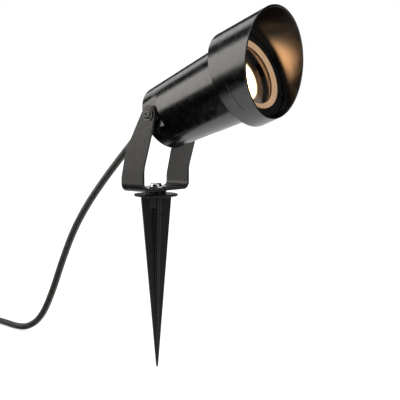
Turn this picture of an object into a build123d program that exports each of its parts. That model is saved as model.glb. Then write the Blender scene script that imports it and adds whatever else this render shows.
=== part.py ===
from build123d import *
import math
import os

# A garden spike spotlight. The origin is the centre of the underside of the spike's flange, on the
# spike's axis: the line where the spike enters the ground. +Z is up and +X is the way the beam points.
# The tilt axis runs along Y. The head is modelled along its own beam axis, with s = 0 at the pivot and
# s growing towards the light, and is then placed at the pivot, tilted up.

# --- shared by all shapes -------------------------------------------------------------------------
overcut = 1.0
bond = 1.0
running_gap = 0.05
thread_clearance = 0.05

# --- ground spike, moulded nylon ------------------------------------------------------------------
spike_length = 160.0
flange_radius = 20.0
flange_thickness = 2.0
flange_edge_fillet = 0.7
hub_radius = 9.5
hub_height = 3.35
rib_reach_top = 14.0
rib_reach_tip = 0.9
rib_thickness_top = 3.2
rib_thickness_tip = 1.2
spike_point_length = 1.6
spike_point_width = 0.4
spike_turn_deg = -35.2
boss_across_flats = 11.6
boss_depth = 10.7
boss_floor = 1.0
boss_point_depth = 8.2
boss_point_radius = 0.5

# --- swivel screw that clamps the bracket to the spike --------------------------------------------
swivel_shank_radius = 2.5
swivel_shank_overrun = 1.0
swivel_head_radius = 5.2
swivel_head_height = 2.8
swivel_head_fillet = 1.54
swivel_washer_radius = 9.8
swivel_washer_thickness = 1.0
swivel_washer_clearance = 0.2
swivel_drive_flats = 3.2
swivel_drive_depth = 1.6
swivel_clearance = 0.08
insert_radius = 3.7
insert_length = 8.0
insert_clearance = 0.03
insert_groove_width = 1.6
insert_groove_depth = 0.5

# --- U-bracket, bent from steel strip -------------------------------------------------------------
strip_thickness = 2.5
strip_width = 26.0
bend_outer_radius = 7.0
arm_lean_start_height = 12.6
arm_knee_x = -7.2
arm_knee_height = 36.6
arm_front_lean_height = 20.0
arm_end_radius = 7.3
arm_knee_fillet = 16.0
arm_start_fillet = 26.0

# --- pivots ---------------------------------------------------------------------------------------
pivot_x = 20.2
pivot_height = 73.4
pivot_shank_radius = 2.5
pivot_head_radius = 4.1
pivot_head_height = 1.9
pivot_head_fillet = 1.33
pivot_drive_flats = 2.5
pivot_drive_depth = 1.0
pivot_thread_depth = 7.0
pivot_thread_spare = 0.4
pivot_clearance = 0.06
cup_washer_radius = 5.4
cup_washer_thickness = 0.8
cup_washer_rim = 0.5
cup_recess_gap = 0.55
friction_disc_radius = 6.6
friction_disc_thickness = 1.2

# --- head: die-cast housing -----------------------------------------------------------------------
beam_tilt_deg = 20.2
rear_overhang = 10.0
rear_radius = 28.4
rear_edge_fillet = 2.6
rear_wall = 3.0
body_wall = 2.2
collar_start = 80.3
collar_length = 11.5
collar_step = 8.25
collar_edge_fillet = 0.8
head_radius = 41.25
flat_half_width = 26.0
flat_length = 19.5
flat_wall = 2.7
pivot_boss_radius = 7.2
pivot_boss_height = 1.4
pivot_inner_boss_radius = 5.6
pivot_inner_boss_floor = 1.5
seat_floor_thickness = 2.4
throat_clearance = 1.6
groove_width = 3.2
groove_depth = 7.3
spigot_wall = 2.0
spigot_length = 4.0
spigot_clearance = 0.05
screw_post_radius = 2.6
screw_post_inset = 0.7

# --- hood (shade), glass and its gasket -----------------------------------------------------------
hood_wall = 1.8
hood_top_length = 41.4
hood_bottom_length = 6.8
hood_rim_fillet = 0.5
gasket_depth_in_collar = 4.6
gasket_ledge = 2.1
gasket_wall = 3.6
gasket_lip_rise = 2.6
gasket_lip_fall = 2.2
gasket_clearance = 0.05
glass_grip = 3.1
glass_thickness = 3.0
glass_rear_lip = 1.0
ring_clearance = 0.2
ring_width = 7.1
ring_thickness = 1.6
ring_screw_count = 3
ring_screw_radius = 1.25
ring_screw_hole_gap = 0.15
ring_screw_length = 6.5
ring_screw_spare = 1.1
ring_screw_head_radius = 2.2
ring_screw_head_height = 1.2

# --- lamp and its holder --------------------------------------------------------------------------
lamp_radius = 25.0
lamp_setback = 6.2
lamp_length = 54.0
lamp_rim_height = 3.4
lamp_rim_width = 3.6
lamp_rim_step = 1.2
lamp_face_recess = 1.2
lamp_neck_radius = 17.4
lamp_neck_length = 8.0
lamp_fin_count = 16
lamp_fin_width = 2.2
lamp_fin_depth = 1.4
lamp_fin_rear_margin = 4.0
lamp_fin_front_margin = 3.0
lens_thickness = 2.4
lens_edge_fillet = 0.9
pin_spacing = 10.0
pin_radius = 1.6
pin_length = 7.2
pin_head_radius = 2.4
pin_head_length = 2.2
holder_radius = 15.5
holder_length = 14.2
holder_flat_half_width = 11.6
holder_seat_gap = 0.1
socket_radius = 2.6
socket_depth = 8.6
lead_entry_depth = 3.0
lead_entry_gap = 0.2
plate_thickness = 1.0
plate_length = 46.0
plate_width = 20.0
plate_corner_radius = 4.0
plate_window_radius = 8.2
plate_screw_offset = 19.0
plate_screw_radius = 1.5
plate_screw_length = 7.0
plate_screw_spare = 1.0
plate_screw_head_radius = 2.6
plate_screw_head_height = 1.8
plate_hole_gap = 0.2
plate_post_radius = 3.4

# --- earth point ----------------------------------------------------------------------------------
earth_offset = -12.6
earth_post_radius = 3.6
earth_post_height = 2.0
earth_lug_radius = 3.4
earth_lug_thickness = 0.8
earth_tongue_width = 3.4
earth_tongue_length = 5.0
earth_tongue_centre = 4.6
earth_barrel_radius = 1.7
earth_barrel_length = 4.0
earth_barrel_centre = 8.4
earth_wire_depth = 2.0
earth_screw_radius = 1.9
earth_screw_length = 4.6
earth_hole_depth = 4.2
earth_screw_hole_gap = 0.15
earth_screw_head_radius = 3.2
earth_screw_head_height = 2.0
earth_screw_head_fillet = 0.7

# --- cable gland and inner leads ------------------------------------------------------------------
gland_shank_radius = 6.0
gland_flange_flats = 16.0
gland_flange_thickness = 3.4
gland_thread_radius = 6.3
gland_thread_margin = 3.0
gland_nut_flats = 14.6
gland_nut_length = 7.4
gland_nut_corner_radius = 8.6
gland_nut_mouth_wall = 2.2
gland_nut_cone_length = 2.6
gland_nut_bore_margin = 2.2
gland_locknut_flats = 15.0
gland_locknut_thickness = 2.6
gland_inner_length = 3.4
gland_clearance = 0.05
seal_wall = 1.1
seal_seat_depth = 1.5
seal_inset = 1.2
boot_length = 17.0
boot_wall = 0.9
boot_bead = 0.5
boot_bead_start = 0.2
boot_bead_width = 1.4
boot_bead_ramp = 0.4
cord_radius = 3.5
cord_fit = 0.05
cord_end_spare = 0.6
lead_radius = 1.1
lead_start_offset = 1.4
lead_start_drop = 0.8
lead_corner_radius = 2.4
lead_plug_depth = 2.6
earth_lead_start_drop = 2.0
earth_lead_run = 5.0
earth_lead_return = 0.6
earth_lead_elbow_drop = 8.5
earth_lead_low_drop = 15.0
earth_lead_corner_radius = 1.4

# --- plug -----------------------------------------------------------------------------------------
plug_face_radius = 18.4
plug_face_length = 11.0
plug_face_fillet = 1.4
plug_body_length = 34.0
plug_boot_length = 24.0
plug_boot_end_radius = 4.6
plug_boot_top_radius = 6.7
plug_shoulder_radius = 12.0
plug_shoulder_length = 2.5
plug_grip_radius = 13.5
plug_grip_length = 9.0
plug_slot_count = 4
plug_slot_width = 1.4
plug_slot_start = 6.0
plug_slot_pitch = 4.0
plug_slot_root_radius = 5.2
plug_pin_radius = 2.4
plug_pin_length = 19.0
plug_pin_spacing = 19.0
plug_pin_chamfer = 0.9
plug_root_radius = 1.9
plug_root_length = 11.5
plug_clip_width = 4.0
plug_clip_thickness = 0.8
plug_clip_length = 13.9
plug_clip_gap = 0.05
plug_socket_radius = 2.5
plug_socket_depth = 16.0
plug_socket_offset = 10.4

# --- the cord's coil on the ground ----------------------------------------------------------------
ground_level = -160.0
coil_centre_x = -289.0
coil_centre_y = -42.5
coil_entry_radius = 43.5
coil_lower_turns = 2.25
coil_upper_turns = 2.25
coil_stub = 27.0
coil_slack = 0.2
first_run = 7.5
route_arc_share = 0.45
tie_angle_deg = 215.0
tie_width = 4.5
tie_thickness = 0.6
tie_gap = 0.15

# The cord leaves the gland along the head's axis, droops as the photograph shows, hangs down behind
# the bracket and runs along the ground to the coil.
cord_route = [
    (-18.6, 0.0, 57.6),
    (-27.6, 0.0, 49.5),
    (-44.0, 0.0, 34.5),
    (-68.0, 0.2, 11.9),
    (-92.0, -0.4, -14.0),
    (-112.0, -1.4, -41.5),
    (-129.0, -2.6, -75.0),
    (-144.5, -3.6, -110.0),
    (-162.5, -3.6, -138.5),
    (-185.0, -3.4, -152.8),
    (-208.0, -1.8, -156.3),
    (-233.0, 1.0, -156.3),
]

# The tail leaves the upper layer of the coil, turns round and rises to the plug, which lies on top.
tail_route = [
    (-246.0, -86.0, -149.3),
    (-231.7, -80.1, -149.1),
    (-220.7, -69.1, -148.4),
    (-214.8, -54.8, -147.3),
    (-214.8, -39.2, -145.9),
    (-220.7, -24.9, -144.3),
    (-231.7, -13.9, -142.9),
    (-246.0, -8.0, -141.4),
]
plug_neck_point = (-262.6, -8.0, -137.7)

# --- worked-out sizes and places ------------------------------------------------------------------
base_underside = flange_thickness + hub_height + running_gap
base_top = base_underside + strip_thickness
washer_low = base_top + running_gap
screw_seat = washer_low + swivel_washer_thickness
ear_face = flat_half_width + pivot_boss_height
arm_inner = ear_face + friction_disc_thickness + 2 * running_gap
arm_outer = arm_inner + strip_thickness
cup_seat = arm_outer + running_gap
pivot_seat = cup_seat + cup_washer_thickness
pivot_root = flat_half_width - pivot_thread_depth

collar_end = collar_start + collar_length
floor_inner = rear_wall - rear_overhang
front_radius = head_radius - collar_step
body_slope = (front_radius - rear_radius) / (collar_start + rear_overhang)
hood_inner_radius = head_radius - hood_wall
spigot_radius = hood_inner_radius - spigot_clearance
groove_outer_radius = spigot_radius - spigot_wall
groove_inner_radius = groove_outer_radius - groove_width
ring_outer_radius = groove_outer_radius - ring_clearance
ring_inner_radius = ring_outer_radius - ring_width
gasket_lip_radius = ring_inner_radius - ring_clearance
gasket_outer_radius = gasket_lip_radius + gasket_ledge
glass_radius = gasket_outer_radius - gasket_wall
gasket_inner_radius = glass_radius - glass_grip
post_circle_radius = groove_inner_radius + screw_post_inset

gasket_rear = collar_end - gasket_depth_in_collar
glass_rear = gasket_rear + glass_rear_lip
glass_front = glass_rear + glass_thickness
gasket_front = glass_front + gasket_lip_rise
ring_front = glass_front + ring_thickness
seat_floor = gasket_rear - seat_floor_thickness
spigot_end = collar_end + spigot_length
lamp_face = gasket_rear - lamp_setback
lamp_base = lamp_face - lamp_length
lamp_neck_end = lamp_base + lamp_neck_length
lamp_rim_rear = lamp_face - lamp_rim_height
lens_front = lamp_face - lamp_face_recess
lens_rear = lens_front - lens_thickness
holder_front = lamp_base - holder_seat_gap
holder_rear = holder_front - holder_length
plate_rear = holder_rear - plate_thickness
earth_post_top = floor_inner + earth_post_height

gland_flange_rear = -rear_overhang - gland_flange_thickness
gland_nut_rear = gland_flange_rear - gland_nut_length
gland_shank_end = floor_inner + gland_inner_length
seal_radius = cord_radius + seal_wall
boot_tip = -rear_overhang - boot_length
cord_end_inner = gland_shank_end + cord_end_spare

face_end = plug_boot_length + plug_body_length
cord_diameter = 2 * cord_radius
coil_inner_radius = coil_entry_radius - coil_lower_turns * cord_diameter
coil_exit_radius = coil_inner_radius + coil_upper_turns * cord_diameter
coil_outer_radius = max(coil_entry_radius, coil_exit_radius) + cord_radius + coil_slack
coil_bore_radius = coil_inner_radius - cord_radius - coil_slack
coil_height = 2 * (cord_diameter + coil_slack)
coil_entry = (
    coil_centre_x + coil_stub,
    coil_centre_y + coil_entry_radius,
    ground_level + cord_radius + coil_slack,
)
coil_exit = (
    coil_centre_x + coil_stub,
    coil_centre_y - coil_exit_radius,
    coil_entry[2] + cord_diameter,
)

HEAD = Pos(pivot_x, 0, pivot_height) * Rot(0, -beam_tilt_deg, 0)


def body_radius(s):
    """Outer radius of the tapered housing at s."""
    return rear_radius + body_slope * (s + rear_overhang)


def turned(points):
    """A solid turned about the beam axis from (s, radius) points."""
    line = Polyline(*[(s, 0, r) for s, r in points], close=True)
    return revolve(make_face(line), axis=Axis.X)


def rod(radius, start, end):
    """A round bar along the beam axis from s = start to s = end."""
    return Pos((start + end) / 2, 0, 0) * Rot(0, 90, 0) * Cylinder(radius, end - start)


def tube(outer, inner, start, end):
    """A round ring along the beam axis, cut right through."""
    return rod(outer, start, end) - rod(inner, start - overcut, end + overcut)


def hexagon(flats):
    return RegularPolygon(flats / 2, 6, major_radius=False)


def hex_bar(flats, start, end):
    """A hexagonal bar along the beam axis."""
    return Pos(start, 0, 0) * Rot(0, 90, 0) * extrude(hexagon(flats), amount=end - start)


def cross_rod(radius, side, near, far):
    """A round bar along Y, from |y| = near to |y| = far, on one side of the head."""
    middle = side * (near + far) / 2
    return Pos(0, middle, 0) * Rot(90, 0, 0) * Cylinder(radius, far - near)


def upright(radius, low, high):
    """A round bar along Z from low to high on the spike's axis."""
    return Pos(0, 0, (low + high) / 2) * Cylinder(radius, high - low)


def around(solid, count, start_deg=0.0):
    """Copies of a solid set evenly about the beam axis."""
    return [Rot(start_deg + k * 360 / count, 0, 0) * solid for k in range(count)]


# --- spike ----------------------------------------------------------------------------------------
def spike_rib_plate():
    """One full-width plate of the cross: it narrows and thins from the flange to the point."""
    taper_end = spike_point_length - spike_length
    top = Rectangle(2 * rib_reach_top, rib_thickness_top)
    low = Pos(0, 0, taper_end) * Rectangle(2 * rib_reach_tip, rib_thickness_tip)
    tip = Pos(0, 0, -spike_length) * Rectangle(spike_point_width, spike_point_width)
    return loft([top, low]) + loft([low, tip])


def make_ground_spike():
    """Flange with a low hub, a hexagonal screw boss below it and the cross-ribbed point."""
    seat = flange_thickness + hub_height
    disc = upright(flange_radius, 0, flange_thickness)
    disc = fillet(disc.edges().filter_by(GeomType.CIRCLE), flange_edge_fillet)
    hub = upright(hub_radius, flange_thickness, seat)
    boss_low = Pos(0, 0, -boss_depth) * hexagon(boss_across_flats)
    boss = extrude(boss_low, amount=boss_depth)
    point = Pos(0, 0, -boss_depth - boss_point_depth) * RegularPolygon(boss_point_radius, 6)
    cross = spike_rib_plate() + Rot(0, 0, 90) * spike_rib_plate()
    body = disc + hub + boss + loft([boss_low, point]) + cross
    bore = upright(swivel_shank_radius + swivel_clearance, boss_floor - boss_depth, seat)
    pocket = upright(insert_radius + insert_clearance, -insert_length, 0)
    return Rot(0, 0, spike_turn_deg) * (body - bore - pocket)


def make_spike_insert():
    """Brass insert moulded into the spike's boss; the swivel screw threads into it."""
    middle = -insert_length / 2
    half = insert_groove_width / 2
    sleeve = upright(insert_radius, -insert_length, 0)
    groove = upright(insert_radius, middle - half, middle + half)
    groove = groove - upright(insert_radius - insert_groove_depth, -insert_length, 0)
    return sleeve - groove - upright(swivel_shank_radius + thread_clearance, -insert_length, 0)


def make_swivel_screw():
    """Machine screw with a rounded head and a hexagonal drive recess."""
    top = screw_seat + swivel_head_height
    head = upright(swivel_head_radius, screw_seat, top)
    head = fillet(head.edges().group_by(Axis.Z)[-1], swivel_head_fillet)
    shank = upright(swivel_shank_radius, -insert_length - swivel_shank_overrun, screw_seat)
    drive = extrude(hexagon(swivel_drive_flats), amount=swivel_drive_depth)
    return head + shank - Pos(0, 0, top - swivel_drive_depth) * drive


def make_swivel_washer():
    disc = upright(swivel_washer_radius, washer_low, screw_seat)
    return disc - upright(swivel_shank_radius + swivel_washer_clearance, washer_low, screw_seat)


# --- bracket --------------------------------------------------------------------------------------
def tangent_from(point, side):
    """Where a line from a point touches the rounded end of an arm, on the left (+1) or right (-1)."""
    dx = point[0] - pivot_x
    dz = point[1] - pivot_height
    turn = math.acos(arm_end_radius / math.hypot(dx, dz))
    angle = math.atan2(dz, dx) - side * turn
    return pivot_x + arm_end_radius * math.cos(angle), pivot_height + arm_end_radius * math.sin(angle)


def corner_at(face, place):
    """The corner of a flat face that lies nearest a place."""
    return min(face.vertices(), key=lambda v: math.dist((v.X, v.Y), place))


def arm_outline():
    """Side view of the bracket in X and Z: upright at the foot, leaning forward to the pivot."""
    half = strip_width / 2
    foot = base_underside - overcut
    rear_start = (-half, base_underside + arm_lean_start_height)
    knee = (arm_knee_x, base_underside + arm_knee_height)
    front_start = (half, base_underside + arm_front_lean_height)
    points = [(-half, foot), rear_start, knee, tangent_from(knee, 1), (pivot_x, pivot_height)]
    points += [tangent_from(front_start, -1), front_start, (half, foot)]
    blade = make_face(Polyline(*points, close=True))
    blade = fillet(corner_at(blade, knee), arm_knee_fillet)
    for place in (rear_start, front_start):
        blade = fillet(corner_at(blade, place), arm_start_fillet)
    return blade + Pos(pivot_x, pivot_height) * Circle(arm_end_radius)


def u_profile(half_width, low, high, corner_radius):
    """Front view of one face of the bent strip: a rectangle with its two lower corners rounded."""
    face = Pos(0, (low + high) / 2) * Rectangle(2 * half_width, high - low)
    return fillet(face.vertices().group_by(Axis.Y)[0], corner_radius)


def make_u_bracket():
    """The bent strip, seen from the front, cut to the arms' leaning outline, seen from the side."""
    top = pivot_height + arm_end_radius + overcut
    outer = u_profile(arm_outer, base_underside, top, bend_outer_radius)
    inner = u_profile(arm_inner, base_top, top, bend_outer_radius - strip_thickness)
    reach = pivot_x + arm_end_radius + strip_width
    channel = extrude(Plane.YZ * (outer - inner), amount=reach, both=True)
    bracket = channel & extrude(Plane.XZ * arm_outline(), amount=arm_outer + overcut, both=True)
    swivel_hole = upright(swivel_shank_radius + swivel_clearance, base_underside, base_top)
    pivot_hole = Rot(90, 0, 0) * Cylinder(pivot_shank_radius + pivot_clearance, 2 * arm_outer)
    return bracket - swivel_hole - Pos(pivot_x, 0, pivot_height) * pivot_hole


# --- pivots, in the head's frame ------------------------------------------------------------------
def make_pivot_screws():
    """Shoulder screws through both arms into the housing's ears; they turn with the head."""
    screws = []
    far = pivot_seat + pivot_head_height
    for side in (1, -1):
        head = cross_rod(pivot_head_radius, side, pivot_seat, far)
        outer_edge = head.edges().group_by(Axis.Y)[-1 if side > 0 else 0]
        head = fillet(outer_edge, pivot_head_fillet)
        drive = extrude(hexagon(pivot_drive_flats), amount=pivot_drive_depth, both=True)
        drive = Pos(0, side * far, 0) * Rot(90, 0, 0) * drive
        screws.append(head + cross_rod(pivot_shank_radius, side, pivot_root, pivot_seat) - drive)
    return HEAD * Compound(screws)


def make_cup_washers():
    """Cup washers under the pivot heads, with a raised rim round the screw."""
    washers = []
    rim_end = pivot_seat + cup_washer_rim
    for side in (1, -1):
        disc = cross_rod(cup_washer_radius, side, cup_seat, rim_end)
        disc = disc - cross_rod(pivot_head_radius + cup_recess_gap, side, pivot_seat, rim_end)
        washers.append(disc - cross_rod(pivot_shank_radius + pivot_clearance, side, cup_seat, rim_end))
    return HEAD * Compound(washers)


def make_friction_discs():
    """Fibre discs between the housing's ears and the arms, which hold the tilt by friction."""
    discs = []
    low = ear_face + running_gap
    high = low + friction_disc_thickness
    for side in (1, -1):
        disc = cross_rod(friction_disc_radius, side, low, high)
        discs.append(disc - cross_rod(pivot_shank_radius + pivot_clearance, side, low, high))
    return HEAD * Compound(discs)


# --- housing --------------------------------------------------------------------------------------
def side_block(start, end, near):
    """A block outside |y| = near that flattens the head's sides from s = start to s = end."""
    depth = head_radius
    block = Box(end - start, depth, 2 * head_radius)
    return [Pos((start + end) / 2, side * (near + depth / 2), 0) * block for side in (1, -1)]


def housing_outer():
    """Tapered body with flats and ears at the pivots, the stepped collar and the hood's spigot."""
    inside_collar = collar_start + bond
    body = turned([
        (-rear_overhang, 0),
        (-rear_overhang, rear_radius),
        (inside_collar, body_radius(inside_collar)),
        (inside_collar, 0),
    ])
    body = fillet(body.edges().filter_by(GeomType.CIRCLE).group_by(Axis.X)[0], rear_edge_fillet)
    body = body - side_block(-rear_overhang, flat_length - rear_overhang, flat_half_width)
    for side in (1, -1):
        body = body + cross_rod(pivot_boss_radius, side, flat_half_width - bond, ear_face)
    collar = rod(head_radius, collar_start, collar_end)
    collar = fillet(collar.edges().group_by(Axis.X)[0], collar_edge_fillet)
    return body + collar + rod(spigot_radius, collar_end - bond, spigot_end)


def housing_cavity():
    """Tapered chamber, thickened at the flats and pivots, with the throat and the glass seat."""
    bore = turned([
        (floor_inner, 0),
        (floor_inner, body_radius(floor_inner) - body_wall),
        (seat_floor, body_radius(seat_floor) - body_wall),
        (seat_floor, 0),
    ])
    flat_end = flat_length - rear_overhang + body_wall
    bore = bore - side_block(floor_inner, flat_end, flat_half_width - flat_wall)
    blind_end = pivot_root - pivot_inner_boss_floor
    for side in (1, -1):
        bore = bore - cross_rod(pivot_inner_boss_radius, side, blind_end, ear_face)
    throat = rod(gasket_inner_radius + throat_clearance, seat_floor, gasket_rear)
    seat = rod(gasket_outer_radius + gasket_clearance, gasket_rear, spigot_end)
    recess = rod(groove_outer_radius, glass_front, spigot_end)
    return bore + throat + seat + recess


def relief_groove():
    """Ring groove in the collar that keeps its walls even, bridged by the ring screws' posts."""
    floor = glass_front - groove_depth
    groove = rod(groove_outer_radius, floor, glass_front) - rod(groove_inner_radius, floor, glass_front)
    post = Pos(0, 0, post_circle_radius) * rod(screw_post_radius, floor, glass_front)
    return groove - around(post, ring_screw_count)


def make_housing():
    """The casting with its posts and every threaded or plain hole."""
    shell = housing_outer() - housing_cavity() - relief_groove()
    tip = ring_front - ring_screw_length - ring_screw_spare
    hole = Pos(0, 0, post_circle_radius) * rod(ring_screw_radius + thread_clearance, tip, glass_front)
    shell = shell - around(hole, ring_screw_count)
    root = floor_inner - bond / 2
    tip = plate_rear - plate_screw_length - plate_screw_spare
    for sign in (1, -1):
        place = Pos(0, 0, sign * plate_screw_offset)
        shell = shell + place * rod(plate_post_radius, root, plate_rear)
        shell = shell - place * rod(plate_screw_radius + thread_clearance, tip, plate_rear)
    earth = Pos(0, earth_offset, 0)
    tip = earth_post_top - earth_hole_depth
    shell = shell + earth * rod(earth_post_radius, root, earth_post_top)
    shell = shell - earth * rod(earth_screw_radius + thread_clearance, tip, earth_post_top)
    shell = shell - rod(gland_shank_radius + gland_clearance, -rear_overhang - overcut, floor_inner)
    for side in (1, -1):
        near = pivot_root - pivot_thread_spare
        shell = shell - cross_rod(pivot_shank_radius + thread_clearance, side, near, ear_face + overcut)
    return HEAD * shell


# --- hood, glass, gasket and retaining ring -------------------------------------------------------
def make_hood():
    """Round shade pushed over the collar's spigot; its mouth is cut aslant, longer on top."""
    start = collar_end + running_gap
    shade = tube(head_radius, hood_inner_radius, start, collar_end + hood_top_length + overcut)
    slant = math.degrees(math.atan2(hood_top_length - hood_bottom_length, 2 * head_radius))
    middle = collar_end + (hood_top_length + hood_bottom_length) / 2
    size = 2 * head_radius + hood_top_length
    cutter = Pos(middle, 0, 0) * Rot(0, slant, 0) * Pos(size / 2, 0, 0) * Box(size, size, size)
    shade = shade - cutter
    rim = shade.edges().filter_by(GeomType.ELLIPSE)
    return HEAD * fillet(rim, min(hood_rim_fillet, hood_wall / 3))


def make_glass_gasket():
    """Silicone ring of U section round the glass edge; its pale front lip shows inside the hood."""
    groove = glass_radius + gasket_clearance
    ring = turned([
        (gasket_rear, gasket_inner_radius),
        (gasket_rear, gasket_outer_radius),
        (glass_front, gasket_outer_radius),
        (glass_front, gasket_lip_radius),
        (gasket_front, gasket_lip_radius),
        (gasket_front - gasket_lip_fall, gasket_inner_radius),
        (glass_front, gasket_inner_radius),
        (glass_front, groove),
        (glass_rear, groove),
        (glass_rear, gasket_inner_radius),
    ])
    return HEAD * ring


def make_front_glass():
    return HEAD * rod(glass_radius, glass_rear, glass_front)


def make_retaining_ring():
    """Flat aluminium ring that presses the gasket into its seat."""
    ring = tube(ring_outer_radius, ring_inner_radius, glass_front, ring_front)
    hole = rod(ring_screw_radius + ring_screw_hole_gap, glass_front, ring_front)
    return HEAD * (ring - around(Pos(0, 0, post_circle_radius) * hole, ring_screw_count))


def make_ring_screws():
    head = rod(ring_screw_head_radius, ring_front, ring_front + ring_screw_head_height)
    screw = head + rod(ring_screw_radius, ring_front - ring_screw_length, ring_front)
    return HEAD * Compound(around(Pos(0, 0, post_circle_radius) * screw, ring_screw_count))


# --- lamp -----------------------------------------------------------------------------------------
def make_lamp_body():
    """Reflector lamp's shell with cooling slots, a rim round the lens and a two-pin base."""
    shoulder_radius = lamp_radius - lamp_rim_step
    shell = turned([
        (lamp_base, 0),
        (lamp_base, lamp_neck_radius),
        (lamp_neck_end, lamp_neck_radius),
        (lamp_rim_rear, shoulder_radius),
        (lamp_rim_rear, lamp_radius),
        (lamp_face, lamp_radius),
        (lamp_face, 0),
    ])
    shell = shell - rod(lamp_radius - lamp_rim_width, lens_rear, lamp_face)
    slot_start = lamp_neck_end + lamp_fin_rear_margin
    slot_end = lamp_rim_rear - lamp_fin_front_margin
    slope = (shoulder_radius - lamp_neck_radius) / (lamp_rim_rear - lamp_neck_end)
    middle = (slot_start + slot_end) / 2
    surface = lamp_neck_radius + slope * (middle - lamp_neck_end)
    slot = Box(slot_end - slot_start, lamp_fin_width, 2 * lamp_fin_depth)
    slot = Pos(middle, 0, surface) * Rot(0, -math.degrees(math.atan(slope)), 0) * slot
    return HEAD * (shell - around(slot, lamp_fin_count, 180 / lamp_fin_count))


def make_lamp_lens():
    """Frosted front lens with a rounded edge, set down inside the lamp's rim."""
    disc = rod(lamp_radius - lamp_rim_width - running_gap, lens_rear, lens_front)
    return HEAD * fillet(disc.edges().group_by(Axis.X)[-1], lens_edge_fillet)


def make_lamp_pins():
    """Two mushroom-headed pins of the twist-lock base."""
    tip = lamp_base - pin_length
    pin = rod(pin_radius, tip, lamp_base) + rod(pin_head_radius, tip, tip + pin_head_length)
    return HEAD * Compound([Pos(0, sign * pin_spacing / 2, 0) * pin for sign in (1, -1)])


# --- lampholder, its plate and the earth point ----------------------------------------------------
def make_lampholder():
    """Steatite lampholder, flat above and below, with two sockets for the lamp's pins."""
    body = rod(holder_radius, holder_rear, holder_front)
    width = 2 * holder_radius
    body = body & Pos((holder_rear + holder_front) / 2, 0, 0) * Box(
        holder_length, width, 2 * holder_flat_half_width
    )
    socket = rod(socket_radius, holder_front - socket_depth, holder_front)
    entry = rod(lead_radius + lead_entry_gap, holder_rear, holder_rear + lead_entry_depth)
    for sign in (1, -1):
        body = body - Pos(0, sign * pin_spacing / 2, 0) * (socket + entry)
    return HEAD * body


def make_holder_plate():
    """Steel plate that carries the lampholder on two posts of the housing."""
    face = RectangleRounded(plate_length, plate_width, plate_corner_radius)
    plate = Pos(plate_rear, 0, 0) * Rot(0, 90, 0) * extrude(face, amount=plate_thickness)
    plate = plate - rod(plate_window_radius, plate_rear, holder_rear)
    hole = rod(plate_screw_radius + plate_hole_gap, plate_rear, holder_rear)
    return HEAD * (plate - [Pos(0, 0, sign * plate_screw_offset) * hole for sign in (1, -1)])


def make_holder_screws():
    head = rod(plate_screw_head_radius, holder_rear, holder_rear + plate_screw_head_height)
    screw = head + rod(plate_screw_radius, plate_rear - plate_screw_length, holder_rear)
    return HEAD * Compound([Pos(0, 0, sign * plate_screw_offset) * screw for sign in (1, -1)])


def make_earth_lug():
    """Tinned ring terminal with a crimp barrel, on its post in the housing's floor."""
    top = earth_post_top + earth_lug_thickness
    barrel_s = earth_post_top + earth_barrel_radius
    eye = rod(earth_lug_radius, earth_post_top, top)
    tongue = Box(earth_lug_thickness, earth_tongue_width, earth_tongue_length)
    tongue = Pos((earth_post_top + top) / 2, 0, -earth_tongue_centre) * tongue
    barrel = Cylinder(earth_barrel_radius, earth_barrel_length)
    lug = eye + tongue + Pos(barrel_s, 0, -earth_barrel_centre) * barrel
    lug = lug - rod(earth_screw_radius + earth_screw_hole_gap, earth_post_top, top)
    wire_z = -earth_barrel_centre - earth_barrel_length / 2 + earth_wire_depth / 2
    lug = lug - Pos(barrel_s, 0, wire_z) * Cylinder(lead_radius + running_gap, earth_wire_depth)
    return HEAD * Pos(0, earth_offset, 0) * lug


def make_earth_screw():
    seat = earth_post_top + earth_lug_thickness
    head = rod(earth_screw_head_radius, seat, seat + earth_screw_head_height)
    head = fillet(head.edges().group_by(Axis.X)[-1], earth_screw_head_fillet)
    screw = head + rod(earth_screw_radius, seat - earth_screw_length, seat)
    return HEAD * Pos(0, earth_offset, 0) * screw


# --- cable gland, cord end and inner leads --------------------------------------------------------
def make_gland_body():
    """Gland body: a hexagonal flange outside and a threaded shank through the rear wall."""
    body = hex_bar(gland_flange_flats, gland_flange_rear, -rear_overhang)
    body = body + rod(gland_shank_radius, -rear_overhang, gland_shank_end)
    body = body + rod(gland_thread_radius, gland_nut_rear + gland_thread_margin, gland_flange_rear)
    bore = rod(cord_radius + cord_fit, gland_nut_rear, gland_shank_end)
    seat = rod(seal_radius + cord_fit, gland_nut_rear, gland_flange_rear + seal_seat_depth)
    return HEAD * (body - bore - seat)


def make_gland_nut():
    """Gland nut: hexagonal at its foot, turned down to a mouth that holds the boot."""
    front = gland_flange_rear - running_gap
    cone = turned([
        (gland_nut_rear, 0),
        (gland_nut_rear, seal_radius + gland_nut_mouth_wall),
        (gland_nut_rear + gland_nut_cone_length, gland_nut_corner_radius),
        (front, gland_nut_corner_radius),
        (front, 0),
    ])
    body = hex_bar(gland_nut_flats, gland_nut_rear, front) & cone
    thread = rod(gland_thread_radius + thread_clearance, gland_nut_rear + gland_nut_bore_margin, front)
    return HEAD * (body - thread - rod(seal_radius + cord_fit, gland_nut_rear, front))


def make_cord_boot():
    """Soft boot gripped by the gland nut; it tapers down round the cord to ease its bend."""
    front = gland_flange_rear + seal_inset
    bead = gland_nut_rear - boot_bead_start
    boot = turned([
        (front, 0),
        (front, seal_radius),
        (bead, seal_radius),
        (bead - boot_bead_ramp, seal_radius + boot_bead),
        (bead - boot_bead_width, seal_radius + boot_bead),
        (boot_tip, cord_radius + boot_wall),
        (boot_tip, 0),
    ])
    return HEAD * (boot - rod(cord_radius + cord_fit / 2, boot_tip, front))


def make_gland_locknut():
    nut = hex_bar(gland_locknut_flats, floor_inner, floor_inner + gland_locknut_thickness)
    return HEAD * (nut - rod(gland_shank_radius + gland_clearance, floor_inner, gland_shank_end))


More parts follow.
